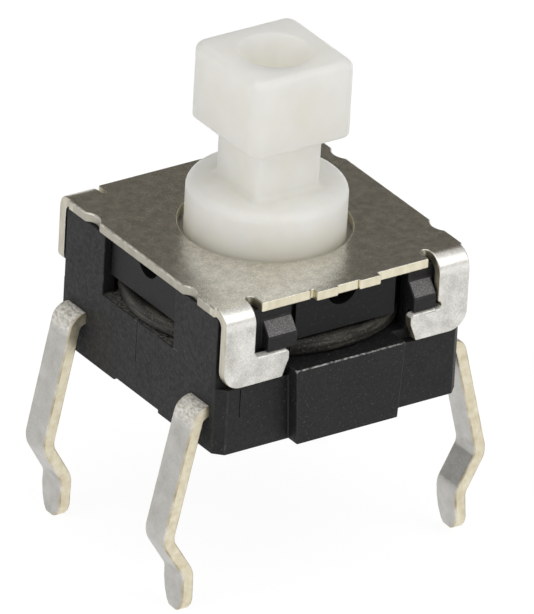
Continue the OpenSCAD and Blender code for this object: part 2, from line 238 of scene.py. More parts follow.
def between(tree, factor, low, high, start=0.3, end=0.7):
    """Number that goes from low to high while the factor goes from start to end."""
    span = tree.nodes.new("ShaderNodeMapRange")
    for socket, value in zip(("From Min", "From Max", "To Min", "To Max"), (start, end, low, high)):
        span.inputs[socket].default_value = value
    tree.links.new(factor, span.inputs["Value"])
    return span.outputs["Result"]


def climb(tree, where, start, end):
    """0 up to the height start, 1 from the height end on, and even between them."""
    parts = tree.nodes.new("ShaderNodeSeparateXYZ")
    tree.links.new(where, parts.inputs[0])
    return between(tree, parts.outputs["Z"], 0.0, 1.0, start, end)


def blended(tree, factor, first, second, mode="MIX"):
    """Mix of two colours by a factor; each is a pattern or a fixed value."""
    mix = tree.nodes.new("ShaderNodeMix")
    mix.data_type, mix.blend_type = "RGBA", mode
    for value, socket in ((factor, mix.inputs[0]), (first, mix.inputs[6]), (second, mix.inputs[7])):
        put(tree, value, socket)
    return mix.outputs[2]


def maths(tree, operation, *values):
    """One step of arithmetic; each value is a pattern or a number."""
    step = tree.nodes.new("ShaderNodeMath")
    step.operation = operation
    for value, socket in zip(values, step.inputs):
        put(tree, value, socket)
    return step.outputs[0]


def inside(tree, where, middle, half):
    """1 inside a box given by its middle and half sizes in mm, and 0 outside it. The signs of the place
    are taken off first, so that one box serves all four quarters."""
    plain = tree.nodes.new("ShaderNodeVectorMath")
    plain.operation = "ABSOLUTE"
    tree.links.new(where, plain.inputs[0])
    parts = tree.nodes.new("ShaderNodeSeparateXYZ")
    tree.links.new(plain.outputs[0], parts.inputs[0])
    mask = 1.0
    for axis, centre, reach in zip("XYZ", middle, half):
        mask = maths(tree, "MULTIPLY", maths(tree, "COMPARE", parts.outputs[axis], centre, reach), mask)
    return mask


def bumps(tree, shader, *layers):
    """Bump layers stacked on each other: (height, depth in mm)."""
    under = None
    for height, depth in layers:
        bump = tree.nodes.new("ShaderNodeBump")
        bump.inputs["Distance"].default_value = depth * MM
        tree.links.new(height, bump.inputs["Height"])
        if under is not None:
            tree.links.new(under, bump.inputs["Normal"])
        under = bump.outputs["Normal"]
    tree.links.new(under, shader.inputs["Normal"])


print("finish helpers ready")

# %% [markdown]
# ## White plunger plastic
# The plunger is a natural, uncoloured moulding: milky, a little warm, and slightly see-through, so its
# hole and hollows glow instead of going dark. Plain white would look like plaster. A full share of
# subsurface light gives the glow.
# A slow noise keeps the colour from being dead flat, and a fine one takes the gloss off. The colour carries
# painted shade: darkest at the collar's foot down in the cover's hole, and a little darker on the head.

# %% Milky plastic
milky_plastic, tree, shader, where = new_finish(
    "milky_plastic", IOR=1.48,
    Subsurface_Weight=1.0, Subsurface_Radius=(1.0, 0.95, 0.85), Subsurface_Scale=2.2 * MM)
shade_foot, shade_top = 3.2, 5.6
cloud = grain(tree, where, 1.1, 2.0)
milk = steps(tree, cloud, [(0.3, tone(241, 239, 230)), (0.7, tone(247, 246, 240))])
# Painted shade by height: darker at the collar's foot in the cover's hole, and a little darker on the head.
depth = steps(tree, climb(tree, where, shade_foot, shade_top), [
    (0.0, (0.82, 0.80, 0.75, 1)), (0.25, (0.955, 0.95, 0.94, 1)), (0.45, WHITE), (0.85, WHITE),
    (1.0, (0.94, 0.937, 0.93, 1))])
feed(tree, shader, Base_Color=blended(tree, 1.0, milk, depth, "MULTIPLY"),
     Roughness=between(tree, grain(tree, where, 9.0), 0.34, 0.5))
bumps(tree, shader, (grain(tree, where, 3.0, 2.0), 0.004), (grain(tree, where, 28.0), 0.0008))
print("made", milky_plastic.name)

# %% [markdown]
# ## Black base plastic
# The base is black plastic with a fine filler, which shows as tiny pale specks on its spark-eroded faces.
# One even black would look like a hole in the picture, so a fine noise makes the specks and a slow one
# lays a breath of dust over them. The sills of the two side windows are lighter: grit with painted light on
# it, in a box that is only about a hundredth of a millimetre high.

# %% Black plastic
black_plastic, tree, shader, where = new_finish("black_plastic", Specular_IOR_Level=0.28)
specks = steps(tree, grain(tree, where, 24.0), [
    (0.0, tone(18, 18, 19)), (0.52, tone(24, 24, 25)), (0.64, tone(36, 36, 36)), (0.76, tone(86, 85, 83))])
dust = between(tree, grain(tree, where, 1.3, 4.0), 0.0, 0.3)
dusty = blended(tree, dust, specks, tone(40, 40, 41))
# Grit with painted light: the window sills are painted a lighter speckled grey where light falls through the
# windows.
sill_grit_and_light = steps(tree, grain(tree, where, 16.0, 5.0), [(0.35, tone(30, 30, 30)), (0.65, tone(120, 117, 112))])
on_sill = inside(tree, where, middle=(2.7, 0.65, window_sill), half=(0.26, 0.75, 0.006))
feed(tree, shader, Base_Color=blended(tree, on_sill, dusty, sill_grit_and_light),
     Roughness=between(tree, grain(tree, where, 12.0), 0.46, 0.66))
bumps(tree, shader, (grain(tree, where, 30.0), 0.004), (grain(tree, where, 5.0, 2.0), 0.004))
print("made", black_plastic.name)

# %% [markdown]
# ## Wear and marks on the base
# Handling rubs the base's edges a little greyer, and the upper edges of its front and back blocks are
# chipped. The slopes of the latch lugs were scuffed when the hooks slid over them. The mould left two
# fine dark lines.
# A mask could find all of these in one material, but each lies on faces of its own, so each is a
# material of its own and only its noise has to be thought about.

# %% Rubbed edge, scuffed slope and mould line
rubbed_edge, tree, shader, where = new_finish("rubbed_edge", Specular_IOR_Level=0.35)
rub = grain(tree, where, 4.0, 4.0)
faint = steps(tree, rub, [(0.35, tone(25, 25, 26)), (0.6, tone(42, 42, 42)), (0.75, tone(90, 89, 87))])
chips = steps(tree, grain(tree, where, 14.0, 5.0), [(0.4, tone(70, 70, 70)), (0.6, tone(170, 169, 166))])
on_block = inside(tree, where, middle=(0, 3.25, window_sill), half=(1.4, 0.05, 0.05))
feed(tree, shader, Base_Color=blended(tree, on_block, faint, chips), Roughness=between(tree, rub, 0.5, 0.66))
bumps(tree, shader, (grain(tree, where, 30.0), 0.003))

scuffed_slope, tree, shader, where = new_finish("scuffed_slope", Specular_IOR_Level=0.5)
scuff = grain(tree, where, 36.0)
scuffs = steps(tree, scuff, [
    (0.3, tone(70, 70, 71)), (0.54, tone(106, 105, 105)), (0.74, tone(150, 148, 146))])
feed(tree, shader, Base_Color=scuffs, Roughness=between(tree, scuff, 0.4, 0.6))
bumps(tree, shader, (scuff, 0.01))

mould_line, tree, shader, where = new_finish("mould_line", Specular_IOR_Level=0.0)
broken = steps(tree, grain(tree, where, 9.0), [(0.4, tone(7, 7, 7)), (0.7, tone(30, 30, 30))])
feed(tree, shader, Base_Color=broken, Roughness=between(tree, grain(tree, where, 12.0), 0.7, 0.9))
print("made", rubbed_edge.name, scuffed_slope.name, mould_line.name)

# %% [markdown]
# ## Cover steel
# The cover is stamped from thin bright steel with a fine matt grain. It has hardly any colour of its own:
# it looks dark where it faces the dark studio and silver where it faces the white table.
# One silver for the whole sheet would make the hooks as bright as the bends, so the finish changes with
# height: mottled on the hooks, brightest on the bends as a painted highlight, and clouded on the flat top.

# %% Steel sheet
cover_steel, tree, shader, where = new_finish("cover_steel", Metallic=1.0)
cloud, fine = grain(tree, where, 5.0, 5.0), grain(tree, where, 30.0)
on_bend = climb(tree, where, 2.84, 2.98)
on_top = climb(tree, where, 3.17, 3.24)
hook_silver = steps(tree, grain(tree, where, 3.0, 8.0), [
    (0.32, (0.51, 0.5, 0.465, 1)), (0.68, (0.78, 0.765, 0.725, 1))])
# Painted highlight: the bends get a near-white metal colour for the bright reflection they show.
bend_painted_highlight = blended(tree, on_bend, hook_silver, (0.95, 0.935, 0.9, 1))
top_silver = steps(tree, cloud, [(0.32, (0.58, 0.56, 0.51, 1)), (0.68, (0.88, 0.85, 0.785, 1))])
silver = blended(tree, on_top, bend_painted_highlight, top_silver)
speckled = steps(tree, fine, [
    (0.35, (0.42, 0.41, 0.38, 1)), (0.5, (0.66, 0.645, 0.6, 1)), (0.68, (1, 0.985, 0.94, 1))])
speckle_share = between(tree, on_top, 0.26, 0.4, start=0.0, end=1.0)
feed(tree, shader, Base_Color=blended(tree, speckle_share, silver, speckled),
     Roughness=between(tree, on_top, 0.36, 0.26, start=0.0, end=1.0))
bumps(tree, shader, (fine, 0.0016), (grain(tree, where, 7.0, 2.0), 0.0022))
print("made", cover_steel.name)

# %% [markdown]
# ## The cover's cut edges and burrs
# The punch shears the sheet's edges rough and leaves them creamy. The hooks' sides are greyer, and the
# edges of the top's sides and the relief slots' walls get painted shade. On the hooks' arms and along the
# top's sides the punch also raised a burr, and its glints are painted highlights.
# A bump alone wouldn't catch the light like that, so the burrs are finishes for the eased edges' faces.

# %% Cut edge, burr and glinting rim
cut_steel, tree, shader, where = new_finish("cut_steel", Metallic=1.0)
painted_shade_metal = (0.3, 0.285, 0.25, 1)
drag = grain(tree, where, 5.0, 2.0, stretch=(1, 1, 0.4))
cream = steps(tree, drag, [(0.3, (0.66, 0.61, 0.45, 1)), (0.7, (0.84, 0.79, 0.63, 1))])
greyer = steps(tree, drag, [(0.3, (0.42, 0.39, 0.31, 1)), (0.7, (0.64, 0.61, 0.52, 1))])
on_flank = inside(tree, where, middle=(3.0, 0.0, 2.4), half=(0.14, 3.2, 1.0))
# Painted shade: the edges of the top's sides and the relief slots' walls are blended towards a dark metal
# colour where shade falls.
side_shade_mask = inside(tree, where, middle=(3.0, 0.0, 3.15), half=(0.2, 2.5, 0.13))
slot_shade_mask = inside(tree, where, middle=(2.0, 2.6, 3.15), half=(0.25, 0.27, 0.13))
flanked = blended(tree, on_flank, cream, greyer)
with_slot_shade = blended(tree, maths(tree, "MULTIPLY", slot_shade_mask, 0.6), flanked, painted_shade_metal)
feed(tree, shader, Base_Color=blended(tree, maths(tree, "MULTIPLY", side_shade_mask, 0.5), with_slot_shade, painted_shade_metal),
     Roughness=between(tree, drag, 0.36, 0.5))
bumps(tree, shader, (drag, 0.0015))

# Painted highlight: the burr is a near-white, partly metallic colour that stands in for the light it
# catches.
burr_painted_highlight, tree, shader, where = new_finish("burr_painted_highlight", Metallic=0.3)
burr = grain(tree, where, 9.0, 4.0)
bright = steps(tree, burr, [(0.3, tone(214, 212, 204)), (0.6, tone(250, 249, 244))])
feed(tree, shader, Base_Color=bright, Roughness=between(tree, burr, 0.3, 0.45))
bumps(tree, shader, (burr, 0.002))

# Painted glints: bright patches of colour on the rims of the top's sides stand in for the light they catch.
glinting_rim, tree, shader, where = new_finish("glinting_rim", Metallic=0.55)
glint = grain(tree, where, 7.0, 4.0)
glints = steps(tree, glint, [(0.4, (0.46, 0.44, 0.38, 1)), (0.68, (0.92, 0.9, 0.83, 1))])
feed(tree, shader, Base_Color=glints, Roughness=between(tree, glint, 0.4, 0.3))
print("made", cut_steel.name, burr_painted_highlight.name, glinting_rim.name)

# %% [markdown]
# ## Tinned legs
# The legs are brass strip with a dull tin coat. Bending crazes the coat at the shoulders, so it is
# scratched there, and painted brighter there as a painted highlight for the glints of the crazed coat.
# The crazing could be modelled, but it is at most a few hundredths of a millimetre deep, so a bump that
# comes in with height is enough.

# %% Tin coat
tin_coat, tree, shader, where = new_finish("tin_coat", Metallic=1.0)
mottle, fine = grain(tree, where, 3.0, 5.0), grain(tree, where, 22.0)
craze = grain(tree, where, 20.0, 5.0, stretch=(1, 0.5, 1))
on_shoulder = climb(tree, where, 0.5, 0.85)
dull = steps(tree, mottle, [(0.3, (0.38, 0.37, 0.345, 1)), (0.7, (0.51, 0.50, 0.475, 1))])
tinned = blended(tree, between(tree, fine, 0.0, 0.4), dull, (0.58, 0.57, 0.545, 1))
# Painted highlight over real crazing: the shoulders turn near white with less metal, so they show bright
# under the lamps.
crazed_with_painted_highlight = steps(tree, craze, [(0.3, (0.5, 0.465, 0.4, 1)), (0.62, (1, 0.98, 0.92, 1))])
feed(tree, shader, Base_Color=blended(tree, on_shoulder, tinned, crazed_with_painted_highlight),
     Roughness=between(tree, on_shoulder, 0.37, 0.4, start=0.0, end=1.0),
     Metallic=between(tree, on_shoulder, 1.0, 0.3, start=0.0, end=1.0))
bumps(tree, shader, (mottle, 0.004), (fine, 0.0025), (maths(tree, "MULTIPLY", craze, on_shoulder), 0.026))
print("made", tin_coat.name)

# %% [markdown]
# ## The legs' cut sides
# The strip is cut after it is tinned, so its sides show a brassy cream, and their edges are darker where
# the shear dragged. One finish with a mask could do both, but the eased edges are faces of their own, so
# two plain finishes are easier to follow.

# %% Cut brass and sheared edge
cut_brass, tree, shader, where = new_finish("cut_brass", Metallic=1.0)
drag = grain(tree, where, 6.0, 4.0)
brassy = steps(tree, drag, [(0.3, (0.62, 0.555, 0.395, 1)), (0.7, (0.82, 0.765, 0.61, 1))])
feed(tree, shader, Base_Color=brassy, Roughness=between(tree, drag, 0.38, 0.52))
bumps(tree, shader, (drag, 0.001))

sheared_edge, tree, shader, where = new_finish("sheared_edge", Metallic=1.0)
drag = grain(tree, where, 3.0, 5.0)
sheared = steps(tree, drag, [
    (0.3, (0.36, 0.31, 0.21, 1)), (0.5, (0.56, 0.50, 0.36, 1)), (0.66, (0.74, 0.71, 0.64, 1))])
feed(tree, shader, Base_Color=sheared, Roughness=between(tree, drag, 0.4, 0.55))
bumps(tree, shader, (drag, 0.001))
print("made", cut_brass.name, sheared_edge.name)

# %% [markdown]
# ## Seal rubber
# The rubber seal shows as a rough, warm grey band in the windows, darker where it turns away above and
# below. The soft light reaches into the windows and would show the band too evenly, so a ramp over the
# rim's height paints that shade in. Long streaks and short crumbs of noise give the torn look of trimmed
# rubber.

# %% Rubber
seal_rubber, tree, shader, where = new_finish("seal_rubber", Specular_IOR_Level=0.35)
streak, crumb = grain(tree, where, 5.0, 5.0, stretch=(0.3, 0.3, 2.6)), grain(tree, where, 24.0, 4.0)
drawn = steps(tree, streak, [(0.32, tone(16, 16, 15)), (0.5, tone(34, 33, 30)), (0.68, tone(78, 75, 67))])
flecks = between(tree, crumb, 0.0, 0.5, start=0.52, end=0.75)
flecked = blended(tree, flecks, drawn, tone(138, 131, 117))
# Painted shade: the colour is darkened towards the rim's top and bottom, where it turns away from the light.
band = steps(tree, climb(tree, where, window_sill, seal_top), [
    (0.0, grey(0.3)), (0.35, grey(0.75)), (0.6, WHITE), (0.8, grey(0.9)), (1.0, grey(0.45))])
feed(tree, shader, Base_Color=blended(tree, 1.0, flecked, band, "MULTIPLY"),
     Roughness=between(tree, crumb, 0.5, 0.7))
bumps(tree, shader, (streak, 0.009), (crumb, 0.006))
print("made", seal_rubber.name)

# %% [markdown]
# ## The dark retainer and the hidden dome
# The retainer above the seal is a smoother black than the base, and painted darker with painted shade, as it
# sits in the shade under the cover. The snap dome is out of sight, but it is bright spring steel with a
# faint haze, in case someone takes the cover off. Both could stay plain, but a little noise in the roughness
# keeps even a slit of them from looking painted.

# %% Retainer plastic and spring steel
# Painted shade: the retainer's black is darker than the base's to stand in for the shade it sits in.
retainer_shaded_plastic, tree, shader, where = new_finish("retainer_shaded_plastic", Specular_IOR_Level=0.2)
fine = grain(tree, where, 18.0)
smooth = steps(tree, fine, [(0.35, tone(13, 14, 14)), (0.6, tone(21, 22, 22)), (0.75, tone(46, 46, 44))])
feed(tree, shader, Base_Color=smooth, Roughness=between(tree, fine, 0.4, 0.55))
bumps(tree, shader, (fine, 0.002))

spring_steel, tree, shader, where = new_finish("spring_steel", Metallic=1.0)
haze = grain(tree, where, 6.0)
hazy = steps(tree, haze, [(0.3, (0.58, 0.57, 0.55, 1)), (0.7, (0.70, 0.69, 0.67, 1))])
feed(tree, shader, Base_Color=hazy, Roughness=between(tree, haze, 0.18, 0.28))
print("made", retainer_shaded_plastic.name, spring_steel.name)

# %% [markdown]
# ## Putting a surface into the scene
# A surface worked out in millimetres becomes a mesh at the origin. Big flat faces next to thin rounded
# edges would shade like pillows with plain smooth shading, so each vertex takes the mean of its faces'
# normals weighed by their area: the flat faces then stay flat and only the edges turn.

# %% Helpers for meshes
def listed(items, name, kind=float):
    """One number for each item of a mesh's list, as an array."""
    values = np.empty(len(items), kind)
    items.foreach_get(name, values)
    return values


def listed_rows(items, name, kind=float):
    """One row of three numbers for each item of a mesh's list, as an array."""
    values = np.empty(len(items) * 3, kind)
    items.foreach_get(name, values)
    return values.reshape(-1, 3)


def settle_normals(mesh):
    """Vertex normal = sum of (face area x face normal) over the faces round the vertex, at unit length."""
    area, way = listed(mesh.polygons, "area"), listed_rows(mesh.polygons, "normal")
    corners = listed(mesh.polygons, "loop_total", np.int32)
    pull = np.repeat(way * (area / area.max())[:, None], corners, axis=0)
    normal = np.zeros((len(mesh.vertices), 3))
    np.add.at(normal, listed(mesh.loops, "vertex_index", np.int32), pull)
    normal /= np.maximum(np.linalg.norm(normal, axis=1, keepdims=True), 1e-20)
    mesh.shade_smooth()
    mesh.normals_split_custom_set_from_vertices(normal.tolist())


def settle(name, mesh, node, finishes):
    """Object at the origin that stands for a CAD node, rides on its body and wears the finishes."""
    for finish in finishes:
        mesh.materials.append(finish)
    settle_normals(mesh)
    piece = bpy.data.objects.new(name, mesh)
    scene.collection.objects.link(piece)
    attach(piece, frame["nodes"][node]["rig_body"])
    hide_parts(node)
    print(f"{name}: {len(mesh.vertices)} points, {len(mesh.polygons)} faces, stands for {node}")
    return piece


print("mesh helpers ready")

# %% [markdown]
# ## Rings
# The plunger is round where it slides through the cover and square at its neck and head, and the seal is
# round all over. All of these are the same ring: four corner arcs whose centres stand in from the sides.
# When the arc's radius is as large as the half width, the ring is a circle.
# So a moulding is a stack of rings, given by a profile with one row for each ring: half width, corner
# radius and height. Small quarter arcs in the profile round its edges. A modifier could round them too,
# but not with a soft hole and a fillet in the same pass.

# %% Helpers for rings
def ring_points(half, radius, height, arc):
    """Rings of four corner arcs: centre = (half - radius) towards each corner, plus radius x (cos a, sin a).
    half, radius and height are arrays with one value for each ring; gives rings x points x 3."""
    quarter = np.linspace(0.0, math.pi / 2, arc + 1)
    angle = (np.arange(4)[:, None] * math.pi / 2 + quarter).ravel()
    corner = np.repeat(math.pi / 4 + np.arange(4) * math.pi / 2, arc + 1)
    centre = np.sign(np.round(np.stack([np.cos(corner), np.sin(corner)], 1), 3))
    round_off = np.stack([np.cos(angle), np.sin(angle)], 1)
    flat = (half - radius)[:, None, None] * centre + radius[:, None, None] * round_off
    return np.concatenate([flat, np.broadcast_to(height[:, None, None], (*flat.shape[:2], 1))], 2)


def circle(r, z):
    """One round ring of radius r at height z."""
    return np.array([[r, r, z]])


def eased(half, radius, height, ease, start, end, count=6):
    """Quarter arc at an edge, from angle start to end in degrees. The ring and its corners shrink by
    ease x (1 - cos a), and the height changes by ease x (sin a - 1) above or below the edge."""
    a = np.radians(np.linspace(start, end, count))
    inset = ease * (1 - np.cos(a))
    rise_by = np.sign(start + end) * ease * (np.abs(np.sin(a)) - 1)
    return np.stack([half - inset, np.maximum(radius - inset, 0.01), height + rise_by], 1)


def fillet(half, radius, height, ease, count=7):
    """Hollow quarter arc at the foot of an upright wall: the ring shrinks from half + ease to half while
    it climbs by ease, along ease x (1 - sin a) inwards and ease x (1 - cos a) upwards."""
    a = np.linspace(0.0, math.pi / 2, count)
    swell = ease * (1 - np.sin(a))
    return np.stack([half + swell, radius + swell, height + ease * (1 - np.cos(a))], 1)


def taper(r_out, r_in, height, depth, soft, count=24):
    """Tapered hole with a soft rim: the radius falls evenly with t from r_out to r_in, and the depth grows
    as the hyperbola sqrt(t squared + soft squared), level at the rim and straight below it."""
    t = np.linspace(0.0, 1.0, count) ** 2
    sunk = (np.hypot(t, soft) - soft) / (math.hypot(1.0, soft) - soft)
    r = r_out + (r_in - r_out) * t
    return np.stack([r, r, height - depth * sunk], 1)


def ring_stack(points, loop=False):
    """Quads between neighbouring rings. One flat face closes each end, or in a loop the last ring joins
    the first."""
    rings, around = points.shape[:2]
    at = np.arange(rings * around).reshape(rings, around)
    ends = [] if loop else [at[0, ::-1].tolist(), at[-1].tolist()]
    if loop:
        at = np.concatenate([at, at[:1]])
    nxt = np.roll(at, -1, axis=1)
    quads = np.stack([at[:-1], nxt[:-1], nxt[1:], at[1:]], -1).reshape(-1, 4)
    return quads.tolist() + ends


def ring_mesh(name, profile, loop=False, arc=14):
    """Mesh of a profile, with arc steps in each corner. Points that fall together are merged, and the mesh
    is shrunk to metres."""
    points = ring_points(*profile.T, arc)
    mesh = bpy.data.meshes.new(name)
    mesh.from_pydata(points.reshape(-1, 3).tolist(), [], ring_stack(points, loop))
    shape = bmesh.new()
    shape.from_mesh(mesh)
    bmesh.ops.remove_doubles(shape, verts=shape.verts, dist=0.0005)
    bmesh.ops.scale(shape, vec=(MM,) * 3, verts=shape.verts)
    shape.to_mesh(mesh)
    shape.free()
    return mesh


print("ring helpers ready")

# %% [markdown]
# ## The plunger
# The plunger is one white moulding: a stem that pushes the seal, a flange that the cover holds back, a
# round collar, a square neck and a square head with a blind hole. Its solid could be eased like the
# others, but its soft mouth and the fillet at the neck's foot would be lost.
# So the profile goes from the stem's foot, up the outside, over the head and down into its hole.

# %% Plunger
plunger_low, plunger_high = box_mm("plunger")
stem_foot, head_top = plunger_low[2], plunger_high[2]
stem_r, stem_ease = 0.85, 0.08
flange_r, flange_low, flange_high, flange_ease = plunger_high[0], 2.65, 3.03, 0.05
collar_r, collar_top, collar_ease = 1.65, 4.20, 0.20
neck_half, neck_corner, neck_top, neck_fillet, neck_flare = 0.775, 0.12, 5.42, 0.16, 0.03
head_half, head_corner, under_ease, head_ease = 1.215, 0.28, 0.09, 0.19
mouth_r, mouth_lip, mouth_soft = 0.73, 0.05, 0.28
floor_r, hole_depth, floor_rise = 0.43, 1.0, 0.08
floor_round = ((0.04, 0.03), (0.12, 0.0))

profile = np.concatenate([
    eased(stem_r, stem_r, stem_foot, stem_ease, -90, 0),
    circle(stem_r, flange_low),
    eased(flange_r, flange_r, flange_low, flange_ease, -90, 0),
    eased(flange_r, flange_r, flange_high, flange_ease, 0, 90),
    circle(collar_r, flange_high),
    eased(collar_r, collar_r, collar_top, collar_ease, 0, 90, 10),
    fillet(neck_half, neck_corner, collar_top, neck_fillet),
    np.array([[neck_half, neck_corner, neck_top - neck_flare],
              [neck_half + neck_flare, neck_corner + neck_flare, neck_top]]),
    eased(head_half, head_corner, neck_top, under_ease, -90, 0),
    eased(head_half, head_corner, head_top, head_ease, 0, 90, 9),
    taper(mouth_r + mouth_lip, floor_r, head_top, hole_depth - floor_rise, mouth_soft),
    *(circle(floor_r - inset, head_top - hole_depth + above) for inset, above in floor_round),
])
plunger_mesh = ring_mesh("plunger_moulding", profile)
settle("plunger_moulding", plunger_mesh, "plunger", [milky_plastic])

# %% [markdown]
# ## The rubber seal
# The seal is one moulding, turned round the plunger's axis: a thick rim that shows in the windows, with a
# line of flash round it, and a thin web with a boss that passes the push on to the dome.
# As one rigid surface it would be cut by the plunger's foot. The rim stays clamped while the middle gives
# way, so the two are separate surfaces, and the middle gets a mesh of its own.

# %% Seal
seal_low, seal_high = box_mm("seal")
boss_foot, boss_top = seal_low[2], seal_high[2]
rim_inner, rim_ease, flash = 1.98, 0.1, 0.015
wall_r, flash_z = seal_high[0] - flash, (window_sill + seal_top) / 2
rim_profile = np.concatenate([
    eased(wall_r, wall_r, window_sill, rim_ease, -90, 0),
    circle(wall_r, flash_z - 2 * flash),
    circle(wall_r + flash, flash_z),
    circle(wall_r, flash_z + 2 * flash),
    eased(wall_r, wall_r, seal_top, rim_ease, 0, 90),
    circle(rim_inner, seal_top),
    circle(rim_inner, window_sill),
])
rim_mesh = ring_mesh("seal_rim", rim_profile, loop=True, arc=32)
settle("seal_rim", rim_mesh, "seal", [seal_rubber])

web_low, web_high, web_gap = 1.81, 1.97, 0.005
web_r, boss_r, boss_ease = rim_inner - web_gap, 0.7, 0.03
web_profile = np.concatenate([
    eased(boss_r, boss_r, boss_foot, boss_ease, -90, 0),
    circle(boss_r, web_low),
    circle(web_r, web_low),
    circle(web_r, web_high),
    circle(boss_r, web_high),
    eased(boss_r, boss_r, boss_top, boss_ease, 0, 90),
])
seal_web = settle("seal_web", ring_mesh("seal_web", web_profile), "seal", [seal_rubber])
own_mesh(seal_web)

# %% [markdown]
# ## Solids with eased edges
# The base, the cover and the legs already have the right shape as solids, but a solid's edges are
# perfectly sharp, and real ones never are. A Bevel modifier can't tell a true edge from the side of a
# loose triangle. So a copy of the solid is merged, its flat faces are joined, and a bevel of a few
# hundredths of a millimetre goes round every true edge.
# The bevel tool has tolerances made for metre sized things, so the copy is worked in millimetres and
# shrunk at the end.

# %% Helpers for eased copies
EASE_STEPS = 2


def solid_copy(node):
    """The CAD node's triangles in mm with equal corners merged."""
    mesh = frame["nodes"][node].data
    place = listed_rows(mesh.vertices, "co", np.float32)
    keys, back = np.unique(np.round(place / MM, 4), axis=0, return_inverse=True)
    tris = back.ravel()[listed(mesh.loops, "vertex_index", np.int32)].reshape(-1, 3)
    keep = (tris[:, 0] != tris[:, 1]) & (tris[:, 1] != tris[:, 2]) & (tris[:, 2] != tris[:, 0])
    return keys, tris[keep]


def score(shape, way, low, high, number):
    """Marks a fine line on a flat face that looks along way. The face is cut along the sides of the box
    from low to high, and the strip inside the box takes the finish with that number."""
    flat = [axis for axis in range(3) if not way[axis]]

    def near():
        """Faces that look along way and reach into the box."""
        facing = [f for f in shape.faces if f.normal.dot(way) > 0.999]
        spans = [(f, np.array([v.co for v in f.verts])) for f in facing]
        return [f for f, span in spans if (span.max(0) > low).all() and (span.min(0) < high).all()]

    for side in (low, high):
        for axis in flat:
            parts = {part for f in near() for part in (f, *f.edges, *f.verts)}
            bmesh.ops.bisect_plane(
                shape, geom=list(parts), plane_co=side, plane_no=np.eye(3)[axis], dist=1e-5)
    for f in near():
        mid = np.array(f.calc_center_median())
        if (mid > low).all() and (mid < high).all():
            f.material_index = number


def eased_copy(node, name, ease, kind, edge_slot=-1, bend=None, lines=(), merge=0.002):
    """Mesh of the node with every edge over 30 degrees bevelled by ease mm. kind gives each face the
    number of its finish, from arrays of face normals and middles. edge_slot is the bevels' own finish,
    lines are scored on flat faces, and bend moves the finished points. Corners closer than merge mm
    become one first."""
    keys, tris = solid_copy(node)
    mesh = bpy.data.meshes.new(name)
    mesh.from_pydata(keys.tolist(), [], tris.tolist())
    shape = bmesh.new()
    shape.from_mesh(mesh)
    bmesh.ops.remove_doubles(shape, verts=shape.verts, dist=merge)
    bmesh.ops.dissolve_limit(shape, angle_limit=math.radians(0.6), verts=shape.verts, edges=shape.edges)
    faces = list(shape.faces)
    ways = np.array([f.normal for f in faces])
    mids = np.array([f.calc_center_median() for f in faces])
    for f, number in zip(faces, kind(ways, mids)):
        f.material_index = int(number)
    true_edges = [e for e in shape.edges if e.calc_face_angle(0.0) > math.radians(30)]
    bmesh.ops.bevel(
        shape, geom=true_edges, offset=ease, offset_type="OFFSET", segments=EASE_STEPS, profile=0.5,
        affect="EDGES", clamp_overlap=False, material=edge_slot)
    for line in lines:
        score(shape, **line)
    shape.to_mesh(mesh)
    shape.free()
    points = listed_rows(mesh.vertices, "co")
    if bend is not None:
        points = bend(points)
    mesh.vertices.foreach_set("co", (points * MM).ravel())
    mesh.update()
    return mesh


print("eased copy helpers ready")

# %% [markdown]
# ## The base
# The base is a black moulding with corner posts, latch lugs and a block on the front and back. Its eased
# edges take the rubbed finish, and the lugs' slopes the scuffed one.
# The two mould lines are only one or two hundredths of a millimetre wide. A noise can't draw a straight
# line, so they are scored on the faces.

# %% Base
# How much of a face's normal lies along an axis, from a slight share to nearly all of it.
SLIGHT, CLEAR, MOST, FULL = 0.2, 0.3, 0.5, 0.9
RUBBED, SCUFFED, LINED = 1, 2, 3
lug_from = 2.7


def lug_slopes(way, mid):
    """The scuffed finish on the lead-in slopes of the latch lugs, which look up and outwards, and plain
    black elsewhere. A face looks along an axis when a clear share of its normal lies on it."""
    slope = (way[:, 2] > CLEAR) & (np.abs(way[:, 1]) > CLEAR)
    return SCUFFED * (slope & (np.abs(mid[:, 1]) > lug_from))


side_line = {"way": (-1, 0, 0), "low": (-2.96, 0.064, 0.76), "high": (-2.94, 0.076, 1.66), "number": LINED}
front_line = {"way": (0, -1, 0), "low": (-2.46, -2.96, 0.8), "high": (-2.44, -2.94, 1.43), "number": LINED}
base_mesh = eased_copy("base", "base_moulding", ease=0.025, kind=lug_slopes, edge_slot=RUBBED,
                       lines=(side_line, front_line))
settle("base_moulding", base_mesh, "base",
       [black_plastic, rubbed_edge, scuffed_slope, mould_line])

# %% [markdown]
# ## The cover
# The cover is one stamping, a flat top with four hooks bent down from it. Its rear bends were pressed
# tighter than the front ones. A new solid could show that, but it is only a matter of a few points:
# those round the rear bends' axis move outwards, along a curve between a circle and a square.
# The faces are sorted by the way they look: sheet or cut edge, and then the burrs on the eased edges.

# %% Cover
CUT, BURR_HIGHLIGHT, GLINTING = 1, 2, 3
hook_back = box_mm("cover")[1][1]
sheet, bend_inner, bend_power = 0.21, 0.18, 3.0
bend_out = bend_inner + sheet
bend_axis = (hook_back - bend_out, cover_top - bend_out)
hook_inside, hook_from, hook_top = 2.2, 2.7, 2.9
arm_top, rim_low, rim_side, rim_end = 2.6, 3.2, 2.7, 2.5


def cover_cuts(way, mid):
    """The cut finish on the sheet's edges: on the hooks the faces that don't look front or back, on their
    bends the faces that look sideways, and on the flat top the upright faces."""
    side, out, up = np.abs(way).T
    on_bend = (np.abs(mid[:, 0]) > hook_inside) & (np.abs(mid[:, 1]) > hook_from)
    cut = np.where(mid[:, 2] < hook_top, out < CLEAR, np.where(on_bend, side > FULL, up < SLIGHT))
    return CUT * cut


